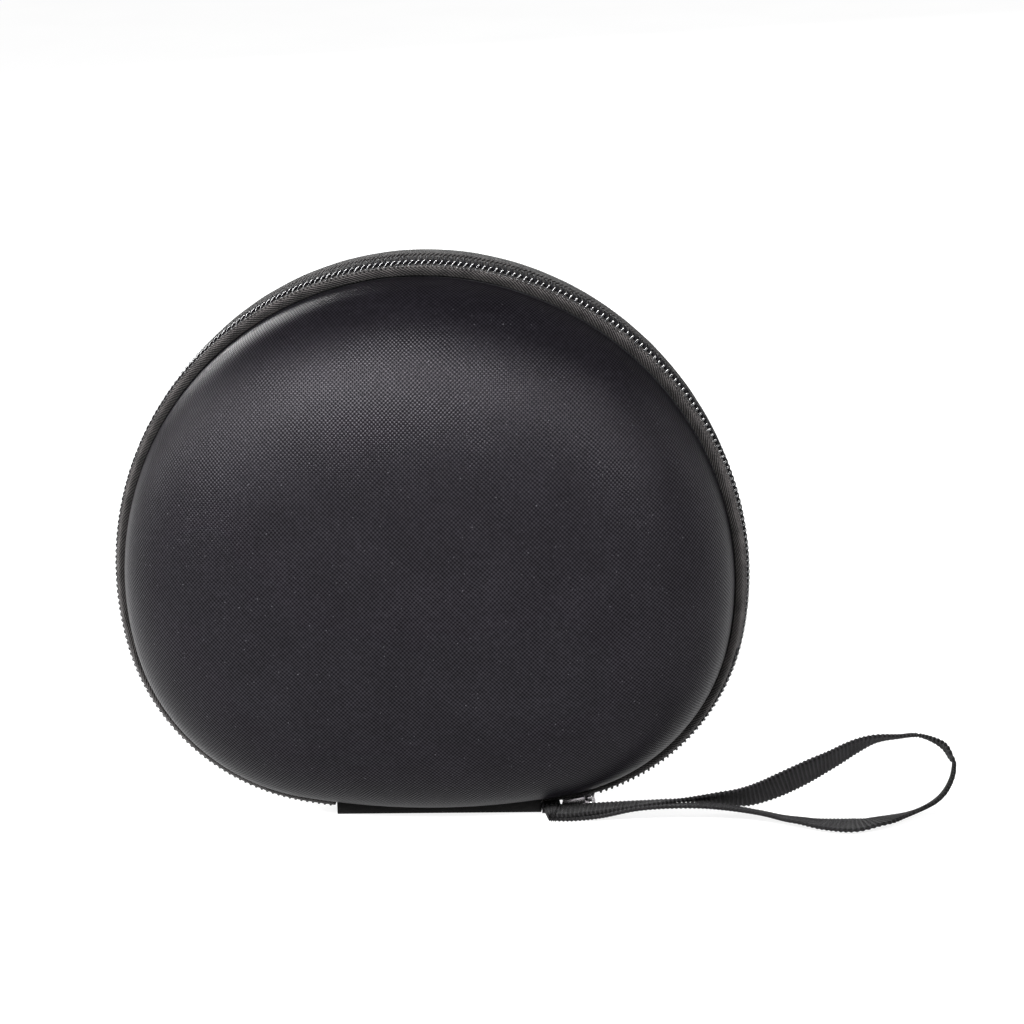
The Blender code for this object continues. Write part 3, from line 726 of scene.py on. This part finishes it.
def make_coil(prefix, side, body):
    """One row of the coil: a flattened helix of monofilament sewn on the tape's edge."""
    first = length_at(SLIDER_ANGLE) + COIL_START[side]
    last = strip_ends()[1]
    turns = int((last - first) / COIL_PITCH)
    swing = np.linspace(0, 2 * math.pi * turns, turns * STEPS_A_TURN + 1)
    start = math.ceil(first / COIL_PITCH) * COIL_PITCH + TEETH_OFFSET[side]
    along = start + swing / (2 * math.pi) * COIL_PITCH
    keep = along < last
    swing, along = swing[keep], along[keep]
    half_width, half_height, centre_depth, centre_rise = 1.62 * MM, 0.4 * MM, 1.42 * MM, -0.7 * MM
    depth = centre_depth - half_width * np.cos(swing)
    rise = centre_rise + half_height * np.sin(swing) * (1 + 0.12 * np.cos(swing))
    path = zip_point(side, along, depth, rise)
    head = np.exp(-((np.mod(swing + math.pi, 2 * math.pi) - math.pi) / 0.7) ** 2)
    nylon = "shaded_rear_nylon" if side > 0 else "nylon"
    coil = tube(prefix + "_zip_coil", path, FILAMENT_RADIUS * (1 + 0.2 * head), 8, nylon)
    place(coil, body, "nylon", prefix + "_zip_coil")


def tube(name, path, radius, sides, material):
    """A round tube along a path, with a radius at each point."""
    along = unit(np.gradient(path, axis=0))
    reference = np.array([0.0, 1.0, 0.0]) + np.zeros_like(along)
    flat = np.abs(along[:, 1]) > 0.9
    reference[flat] = (path[flat] - np.array([0.0, 0.0, DOME_CENTRE_Z])) / DOME_CENTRE_Z
    frames = [unit(np.cross(along, reference))[0]]
    for direction in along[1:]:
        carried = frames[-1] - direction * np.dot(frames[-1], direction)
        frames.append(carried / np.linalg.norm(carried))
    first = np.array(frames)
    second = np.cross(along, first)
    angles = np.linspace(0, 2 * math.pi, sides, endpoint=False)
    spokes = np.cos(angles)[:, None] * first[:, None, :] + np.sin(angles)[:, None] * second[:, None, :]
    return sweep(name, path[:, None, :] + radius[:, None, None] * spokes, material)


def make_binding(prefix, side, body):
    """The folded tape that covers a half's inner rim, where lining, shell and zip are stitched together."""
    section = ((0.15, -3.8), (0.15, -8.6), (5.1, -8.6), (5.1, -7.75), (0.8, -7.75), (0.8, -3.8))
    profile = rounded(widened(section, side, beyond=3.5))
    lengths = np.linspace(0, ROUND_LENGTH, 721)[:-1]
    rings = np.stack([rim_point(side, lengths, d, r) for d, r in profile], axis=1)
    binding = sweep(prefix + "_rim_binding", rings, "tape", True, ring_cloth(lengths, profile))
    place(binding, body, "tape", prefix + "_rim_binding")


def make_stitches(prefix, side, body):
    """The lockstitches that hold the tape on the flange: one short sunken bead of thread each."""
    depth = RIM_DEPTH[side] - RIM_DEPTH[-1] + 3.9 * MM
    rise, pitch = -1.3 * MM, 2.6 * MM
    first, last = strip_ends()
    sides, rows = 6, 5
    bead = np.linspace(-1, 1, rows)
    sideways = np.array([0.0, 1.0, 0.0])
    points, faces = [], []
    for k in range(int((last - first) / pitch)):
        along = first + (k + 0.5) * pitch + bead * pitch * 0.41
        path = rim_point(side, along, depth, rise)
        dip = rim_point(side, along, depth, rise - 0.15 * MM) - path
        path = path + dip * (bead[:, None] ** 2) * 1.6
        start = len(points)
        for middle, outward, radius in zip(path, unit(-dip), THREAD_RADIUS * np.sqrt(1.05 - bead**2)):
            for a in range(sides):
                turn = 2 * math.pi * a / sides
                points.append(middle + radius * (math.cos(turn) * sideways + math.sin(turn) * outward))
        faces += (grid_faces(rows, sides, False, True) + start).tolist()
        faces.append(list(range(start, start + sides)))
        faces.append(list(range(start + (rows - 1) * sides, start + rows * sides)))
    stitches = add_mesh(prefix + "_tape_stitches", points, faces, "thread")
    place(stitches, body, "tape")


# ---------------- hinge strip

def make_hinge_strip():
    """The outer hinge fabric between the two halves, made as one fixed piece that does not turn with the
    lid.
    """
    section = (
        (-5.35, 0.35), (-5.1, 0.0), (8.55, 0.0), (8.9, 0.35), (8.9, 3.0), (8.2, 3.0), (8.1, 1.3),
        (-4.5, 1.3), (-4.6, 3.0), (-5.35, 3.0),
    )
    outline = []
    for k, (y, rise) in enumerate(section):
        ahead_y, ahead_rise = section[(k + 1) % len(section)]
        pieces = max(1, int(abs(ahead_y - y) / 0.3))
        for i in range(pieces):
            part = i / pieces
            outline.append((y + (ahead_y - y) * part, rise + (ahead_rise - rise) * part))
    xs = np.linspace(-HINGE_HALF_LENGTH, HINGE_HALF_LENGTH, 121)
    rings = []
    for x in xs:
        crest = BOTTOM_CENTRE[1] - math.sqrt(BOTTOM_RADIUS**2 - x**2)
        rib = 0.04 * MM * math.cos(2 * math.pi * x / (0.9 * MM))
        ring = []
        for y, rise in outline:
            z = max(rise * MM + (crest + rib if rise > 0.5 else 0.0), 0.02 * MM)
            ring.append((x, y * MM, z))
        rings.append(ring)
    rings = np.array(rings)
    steps = np.linalg.norm(np.diff(rings[0], axis=0, append=rings[0][:1]), axis=1)
    across = np.concatenate([[0.0], np.cumsum(steps)[:-1]])
    strip = sweep("hinge_strip", rings, "tape", False, cloth_grid(xs, across))
    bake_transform(strip)
    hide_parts("hinge_strip_rear", "hinge_strip_lid")


# ---------------- net pocket in the lid

def pocket_half_width(z, depth, inset):
    """Half width inside the lid's lining at this height and depth."""
    crown = LINING_CROWN - LINING_THICKNESS
    level = (depth - RIM_DEPTH[-1]) / (crown - RIM_DEPTH[-1])
    scale = (1 - level**2) ** (1 / DOME_POWER)
    x, rim_z = rim_flat(np.linspace(-math.pi / 2, math.pi / 2, 721), LINING_RISE - LINING_THICKNESS)
    rim_z = DOME_CENTRE_Z + (rim_z - DOME_CENTRE_Z) * scale
    return float(np.interp(z, rim_z, x * scale)) - inset


def make_pocket(body):
    """A net with square holes, sagging a little between its sewn edges."""
    low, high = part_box("pocket_net")
    depth = -(low.y + high.y) / 2
    cell, strand, thickness, inset = 1.9 * MM, 0.45 * MM, 0.16 * MM, 1.6 * MM
    rows = int((high.z - low.z) / cell)
    shape = bmesh.new()
    corners = {}

    def row_z(row):
        return low.z + row * (high.z - low.z) / rows

    def last_column(row):
        return int(pocket_half_width(min(row_z(row), high.z), depth, inset) / cell)

    def corner(column, row, shift_x, shift_z):
        key = (column, row, shift_x, shift_z)
        if key not in corners:
            x = column * cell + shift_x * strand / 2
            z = row_z(row) + shift_z * strand / 2
            sag = 0.35 * MM * math.sin(x / (9 * MM)) * math.sin(z / (11 * MM))
            corners[key] = shape.verts.new((x, -depth + sag, z))
        return corners[key]

    def quad(*keys):
        shape.faces.new([corner(*key) for key in keys])

    for row in range(rows + 1):
        last = last_column(row)
        for c in range(-last, last + 1):
            quad((c, row, -1, -1), (c, row, 1, -1), (c, row, 1, 1), (c, row, -1, 1))
            if c < last:
                quad((c, row, 1, -1), (c + 1, row, -1, -1), (c + 1, row, -1, 1), (c, row, 1, 1))
            if row < rows and abs(c) <= last_column(row + 1):
                quad((c, row, -1, 1), (c, row, 1, 1), (c, row + 1, 1, -1), (c, row + 1, -1, -1))
    strands = list(shape.faces)
    area = sum(face.calc_area() for face in strands)
    solid = bmesh.ops.extrude_face_region(shape, geom=strands)
    moved = [item for item in solid["geom"] if isinstance(item, bmesh.types.BMVert)]
    bmesh.ops.translate(shape, verts=moved, vec=(0, -thickness, 0))
    bmesh.ops.recalc_face_normals(shape, faces=shape.faces)
    net = made_from("pocket_net", shape, "net")
    place(net, body, "net", "pocket_net")


def make_elastic(body):
    """The flat band along the pocket's top, puckered by its gathers."""
    low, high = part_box("pocket_net")
    depth = -(low.y + high.y) / 2
    low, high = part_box("pocket_elastic")
    columns, gather_height = 400, 0.12 * MM
    front = [(-1, level) for level in (-1, -0.5, 0, 0.5, 1)]
    band = []
    for k in range(columns):
        part = 2 * k / (columns - 1) - 1
        pucker = math.sin(k * 0.9)
        ring = []
        for face, level in front + [(-face, level) for face, level in reversed(front)]:
            z = (low.z + high.z) / 2 + level * (high.z - low.z) / 2
            half = pocket_half_width(z, depth, 1.5 * MM)
            bulge = 0.15 * MM * (1 - abs(level))
            gather = gather_height * pucker * (1 - 0.4 * abs(level))
            frill = 0.1 * MM * pucker if abs(level) == 1 else 0.0
            ring.append((part * half, -depth + face * (0.4 * MM + bulge) + gather, z + frill))
        band.append(ring)
    band = np.array(band)
    cloth = cloth_grid(band[:, 0, 0], np.arange(2 * len(front)) * 1.5 * MM)
    elastic = sweep("pocket_elastic", band, "webbing", False, cloth)
    place(elastic, body, "tape", "pocket_elastic")


# ---------------- slider and pull

def slider_frame():
    """From the slider's frame (X along the zip, Y across it, -Z out from the crest) to the world."""
    turn = Matrix.Rotation(-(SLIDER_ANGLE + math.pi / 2), 4, "Y")
    centre = Matrix.Translation((CORNER_CENTRE[0], 0, CORNER_CENTRE[1]))
    return centre @ turn @ Matrix.Translation((0, 0, -CORNER_RADIUS))


def slider_piece(name, shape, bevel):
    """An object of a bmesh in the slider's frame, given in millimetres with Z as the rise outwards."""
    bmesh.ops.recalc_face_normals(shape, faces=shape.faces)
    made = made_from(name, shape, "nickel")
    bpy.context.view_layer.objects.active = made
    round_edges = made.modifiers.new("round_edges", "BEVEL")
    round_edges.width = bevel
    round_edges.segments = 3
    round_edges.limit_method = "ANGLE"
    round_edges.angle_limit = math.radians(40)
    graph = bpy.context.evaluated_depsgraph_get()
    rounded_mesh = bpy.data.meshes.new_from_object(made.evaluated_get(graph))
    made.modifiers.clear()
    made.data = rounded_mesh
    cloth = rounded_mesh.attributes.new("cloth", "FLOAT_VECTOR", "POINT")
    flat = [(v.co.x, v.co.y + v.co.z, v.co.z - v.co.y) for v in rounded_mesh.vertices]
    cloth.data.foreach_set("vector", (np.array(flat, np.float32) * MM).ravel())
    to_world = slider_frame() @ Matrix.Diagonal((MM, MM, -MM, 1.0))
    rounded_mesh.transform(to_world)
    rounded_mesh.flip_normals()
    rounded_mesh.shade_smooth()
    rounded_mesh.set_sharp_from_angle(angle=math.radians(50))
    return made


def prism(shape, outline, axis, low, high):
    """Adds a closed prism to a bmesh. outline holds (a, b) points across axis "X", "Y" or "Z"."""
    rings = []
    for along in (low, high):
        if axis == "X":
            rings.append([shape.verts.new((along, a, b)) for a, b in outline])
        elif axis == "Y":
            rings.append([shape.verts.new((a, along, b)) for a, b in outline])
        else:
            rings.append([shape.verts.new((a, b, along)) for a, b in outline])
    count = len(outline)
    for i in range(count):
        j = (i + 1) % count
        shape.faces.new((rings[0][i], rings[0][j], rings[1][j], rings[1][i]))
    shape.faces.new(rings[0][::-1])
    shape.faces.new(rings[1])


def slider_metal(name, bevel, prisms, *nodes):
    shape = bmesh.new()
    for outline, axis, low, high in prisms:
        prism(shape, outline, axis, low, high)
    place(slider_piece(name, shape, bevel), "slider", "nickel", *nodes)


def make_slider():
    """A boat-shaped outer plate with side flanges and lugs, the post, the inner wing and a raised bridge."""
    plate_half = [
        (-4.2, -2.9), (-3.6, -3.6), (-2.6, -3.9), (2.3, -3.9), (2.55, -3.45), (2.85, -3.45), (3.1, -3.8),
        (3.9, -3.6), (4.2, -3.0),
    ]
    plate = plate_half + [(x, -y) for x, y in reversed(plate_half)]
    slider_metal("zip_slider", 0.1, [(plate, "Z", 0.35, 0.8)], "zip_slider")

    flanges = []
    for y, low in ((-4.5, -1.0), (3.9, -0.6)):
        inner = math.copysign(3.35, y)
        flanges.append(([(y, low), (y, 0.78), (inner, 0.78), (inner, low)], "X", -3.4, 2.3))
        flanges.append(([(y, low + 0.2), (y, 0.7), (inner, 0.7), (inner, low + 0.2)], "X", 3.0, 4.15))
    slider_metal("slider_flanges", 0.14, flanges)

    wing = ((-4.2, -1.2), (-3.0, -1.8), (4.2, -1.8), (4.2, 1.8), (-3.0, 1.8), (-4.2, 1.2))
    slider_metal("slider_inner_wing", 0.12, [(wing, "Z", -3.1, -2.3)])
    post = ((-4.1, -2.6), (-4.1, 0.5), (-3.0, 0.5), (-3.0, -2.6))
    slider_metal("slider_post", 0.1, [(post, "Y", -0.35, 0.35)])
    arch = (
        (-1.0, 0.6), (-1.02, 1.3), (-0.9, 1.75), (-0.55, 2.02), (0.6, 2.24), (2.0, 2.5), (3.2, 2.74),
        (3.75, 2.72), (4.1, 2.45), (4.2, 1.9), (4.2, 0.6), (3.6, 0.6), (3.6, 1.9), (3.45, 2.15),
        (3.1, 2.2), (2.0, 2.0), (0.6, 1.75), (-0.2, 1.6), (-0.4, 1.35), (-0.4, 0.6),
    )
    slider_metal("slider_bridge", 0.16, [(arch, "Y", -0.7, 0.7)])


def make_pull():
    """A flat tab folded back under the slider, with a window for the bridge and a rounded tip."""
    outer, hole = [], []
    steps = 12
    for k in range(steps + 1):
        turn = math.pi / 2 + math.pi * k / steps
        outer.append((-3.0 + 1.6 * math.cos(turn), 2.4 * math.sin(turn)))
    outer += [(0.5, -2.3), (3.0, -1.95), (3.3, -1.7), (3.3, 0.0), (3.3, 1.7), (3.0, 1.95), (0.5, 2.3)]
    for x, y in outer:
        hole.append((min(max(x, -1.5), 2.8), min(max(y, -1.05), 1.05)))
    shape = bmesh.new()
    loops = []
    for outline, rise in ((outer, 1.05), (outer, 1.45), (hole, 1.45), (hole, 1.05)):
        loops.append([shape.verts.new((x, y, rise)) for x, y in outline])
    count = len(outer)
    for k in range(4):
        low, high = loops[k], loops[(k + 1) % 4]
        for i in range(count):
            j = (i + 1) % count
            shape.faces.new((low[i], low[j], high[j], high[i]))
    bmesh.ops.remove_doubles(shape, verts=shape.verts, dist=0.001)
    pull = slider_piece("zip_pull", shape, 0.09)
    place(pull, "pull", "nickel", "zip_pull")


# ---------------- webbing

def smooth_route(points, steps):
    """Catmull-Rom curve through the points, with steps pieces between each two."""
    points = np.array(points, float)
    smooth = []
    for i in range(len(points) - 1):
        a, b, c = points[max(i - 1, 0)], points[i], points[i + 1]
        d = points[min(i + 2, len(points) - 1)]
        for k in range(steps):
            t = k / steps
            bend, twist = 2 * a - 5 * b + 4 * c - d, 3 * b - a - 3 * c + d
            smooth.append(0.5 * (2 * b + (c - a) * t + bend * t**2 + twist * t**3))
    smooth.append(points[-1])
    return np.array(smooth)


def even_route(route, spacing):
    """The same route with stations evenly spaced along it: (x, y, z, turn) rows, and their lengths."""
    steps = np.linalg.norm(np.diff(route[:, :3], axis=0), axis=1)
    length = np.concatenate([[0.0], np.cumsum(steps)])
    even = np.linspace(0, length[-1], int(length[-1] / spacing) + 1)
    return np.stack([np.interp(even, length, route[:, k]) for k in range(4)], axis=1), even


def webbing_band(name, route, lengths, width, thickness):
    """Flat webbing along a route in metres, ribbed across, with a bumpy woven edge."""
    middle = route[:, :3]
    along = unit(np.gradient(middle, axis=0))
    across = unit(np.array([0.0, 1.0, 0.0]) - along * along[:, 1:2])
    inward = np.cross(along, across)
    turn = np.radians(route[:, 3])[:, None]
    wide = across * np.cos(turn) + inward * np.sin(turn)
    thick = np.cross(wide, along)
    rib = 0.5 - 0.5 * np.cos(2 * math.pi * lengths / WEBBING_RIB)
    edge = 1 - 0.07 * (1 - rib)
    top = [(-1 + 0.2 * k, 1.0) for k in range(11)]
    points = top + [(-a, -b) for a, b in top]
    rings = np.empty((len(route), len(points), 3))
    places = np.empty((len(route), len(points), 2))
    for k, (a, b) in enumerate(points):
        crown = 1 - 0.3 * abs(a) ** 6
        lift = b * (thickness / 2 - RIB_DEPTH * (1 - rib)) * crown
        reach = a * width / 2 * edge
        rings[:, k] = middle + wide * reach[:, None] + thick * lift[:, None]
        places[:, k, 0] = lengths
        places[:, k, 1] = a * width / 2 + (0.0 if b > 0 else width)
    return sweep(name, rings, "webbing", False, places.reshape(-1, 2))


def make_strap(body):
    """The wrist strap, a free cord whose ends go a little way into the anchor's fold."""
    first, last = STRAP_ROUTE[0], STRAP_ROUTE[-1]
    ends_tucked = ((first[0] - STRAP_TUCK, *first[1:]), *STRAP_ROUTE, (last[0] - STRAP_TUCK, *last[1:]))
    route = smooth_route(ends_tucked, 8)
    route[:, :3] *= MM
    stations, lengths = even_route(route, 0.18 * MM)
    strap = webbing_band("wrist_strap", stations, lengths, STRAP_WIDTH, STRAP_THICKNESS)
    place(strap, body, "webbing", "wrist_strap")


def slanted(made, low_x, high_x):
    """Moves an anchor piece's left end to the right towards the front, as if it were cut at a slant."""
    for vertex in made.data.vertices:
        x, y, _ = vertex.co
        forward = min(1.0, max(0.0, (ANCHOR_BACK_Y - y) / ANCHOR_WIDTH))
        share = min(1.0, max(0.0, (high_x - x) / (high_x - low_x)))
        vertex.co.x = x + ANCHOR_SLANT * forward * share
    return made


def make_anchor(body):
    """The strap's two ends folded round and stitched beside the hinge strip, and the tab under the tape."""
    low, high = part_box("strap_anchor")
    middle_y = -9.85 * MM
    fold_x, fold_z, fold_radius = low.x + 1.4 * MM, 1.45 * MM, 0.85 * MM
    fold = [(high.x, middle_y, fold_z + fold_radius, 0.0), (fold_x, middle_y, fold_z + fold_radius, 0.0)]
    steps = 8
    for k in range(1, steps):
        turn = math.pi / 2 + math.pi * k / steps
        x, z = fold_x + fold_radius * math.cos(turn), fold_z + fold_radius * math.sin(turn)
        fold.append((x, middle_y, z, 0.0))
    fold += [(fold_x, middle_y, fold_z - fold_radius, 0.0), (high.x, middle_y, fold_z - fold_radius, 0.0)]
    core = [(low.x + 1.5 * MM, middle_y, fold_z, 0.0), (high.x, middle_y, fold_z, 0.0)]
    for name, route, width, thickness, nodes in (
        ("strap_anchor", fold, 8.4 * MM, 0.9 * MM, ["strap_anchor"]),
        ("strap_end", core, 8.1 * MM, 0.85 * MM, []),
    ):
        stations, lengths = even_route(np.array(route), 0.15 * MM)
        made = webbing_band(name, stations, lengths, width, thickness)
        place(slanted(made, low.x, high.x), body, "webbing", *nodes)

    xs = np.linspace(low.x + 0.1 * MM, high.x + 0.2 * MM, 44)
    ys = np.linspace(-1.1 * MM, -6.4 * MM, 12)
    tops = np.interp(-ys, (1.1 * MM, 2.4 * MM, 4.0 * MM, 6.4 * MM), (0.9 * MM, 2.0 * MM, 2.9 * MM, 2.9 * MM))
    rings = []
    for x in xs:
        rib = 0.05 * MM * math.cos(2 * math.pi * x / (0.6 * MM))
        upper = [(x, y, top + rib) for y, top in zip(ys, tops)]
        rings.append(upper + [(x, y, 0.16 * MM - rib) for y in ys[::-1]])
    tab_cloth = cloth_grid(xs, np.arange(2 * len(ys)) * 0.45 * MM)
    place(sweep("strap_tab", np.array(rings), "webbing", False, tab_cloth), body, "webbing")


# ---------------- assembly

for prefix, side, body in (("rear", 1, "rear_half"), ("lid", -1, "lid")):
    make_shell(prefix, side, body)
    make_cover(prefix, side, body)
    make_lining(prefix, side, body)
    make_binding(prefix, side, body)
    make_tape(prefix, side, body)
    make_coil(prefix, side, body)
    make_stitches(prefix, side, body)

make_hinge_strip()
make_pocket("lid")
make_elastic("lid")
make_slider()
make_pull()
make_strap("lid")
make_anchor("lid")


# ---------------- studio

# Each light's name, azimuth and elevation in degrees, distance and size in metres, and power in watts.
LIGHTS = (
    ("front_key", -10, 33, 1.5, (0.5, 0.24), 36.0),
    ("left_front", -50, 27, 1.3, (0.6, 0.25), 19.0),
    ("left_side", -96, 20, 1.2, (0.6, 0.3), 6.0),
    ("right_front", 42, 27, 1.3, (0.5, 0.25), 11.0),
    ("right_side", 102, 14, 1.2, (0.5, 0.3), 2.5),
    ("back", -166, 19, 1.3, (1.1, 0.25), 17.0),
)
LIGHTS_TARGET = Vector((0.0, 0.0, 0.075))
FLOOR_HALF = 4.0
CAMERA_TARGET = Vector((0.0, 0.0, 0.072))
CAMERA_AZIMUTH = 7
CAMERA_ELEVATION = 14
CAMERA_DISTANCE = 1.2
CAMERA_ROLL = math.radians(2.6)


def toward(azimuth, elevation):
    """The direction from the object to something at this azimuth from the front and this elevation."""
    turn, lift = math.radians(azimuth), math.radians(elevation)
    return Vector((math.sin(turn) * math.cos(lift), -math.cos(turn) * math.cos(lift), math.sin(lift)))


def area_light(name, direction, distance, size, power):
    data = bpy.data.lights.new(name, "AREA")
    data.shape = "RECTANGLE"
    data.size, data.size_y = size
    data.energy = power
    light = add_object(name, data)
    light.location = LIGHTS_TARGET + direction * distance
    light.rotation_euler = (LIGHTS_TARGET - light.location).to_track_quat("-Z", "Y").to_euler()


def make_studio():
    mesh = bpy.data.meshes.new("floor")
    corners = [(x * FLOOR_HALF, y * FLOOR_HALF, 0) for x, y in ((-1, -1), (1, -1), (1, 1), (-1, 1))]
    mesh.from_pydata(corners, [], [(0, 1, 2, 3)])
    mesh.materials.append(floor_material())
    add_object("floor", mesh)
    world = bpy.data.worlds.new("studio")
    world.use_nodes = True
    background = world.node_tree.nodes["Background"]
    background.inputs["Color"].default_value = (1.0, 1.0, 1.0, 1.0)
    background.inputs["Strength"].default_value = 0.15
    bpy.context.scene.world = world
    bpy.context.scene.view_settings.view_transform = "Standard"
    for name, azimuth, elevation, distance, size, power in LIGHTS:
        area_light(name, toward(azimuth, elevation), distance, size, power)


def make_camera():
    """A little right of the front and a little above it, rolled slightly."""
    data = bpy.data.cameras.new("camera")
    data.sensor_width = 36.0
    data.lens = 164.8
    data.shift_x = 0.0809
    data.shift_y = 0.0258
    data.clip_start = 0.05
    camera = add_object("camera", data)
    back = toward(CAMERA_AZIMUTH, CAMERA_ELEVATION)
    level = toward(CAMERA_AZIMUTH + 90, 0)
    right = level * math.cos(CAMERA_ROLL) - back.cross(level) * math.sin(CAMERA_ROLL)
    turn = Matrix((right, back.cross(right), back)).transposed().to_4x4()
    camera.matrix_world = Matrix.Translation(CAMERA_TARGET + back * CAMERA_DISTANCE) @ turn
    bpy.context.scene.camera = camera


make_studio()
make_camera()
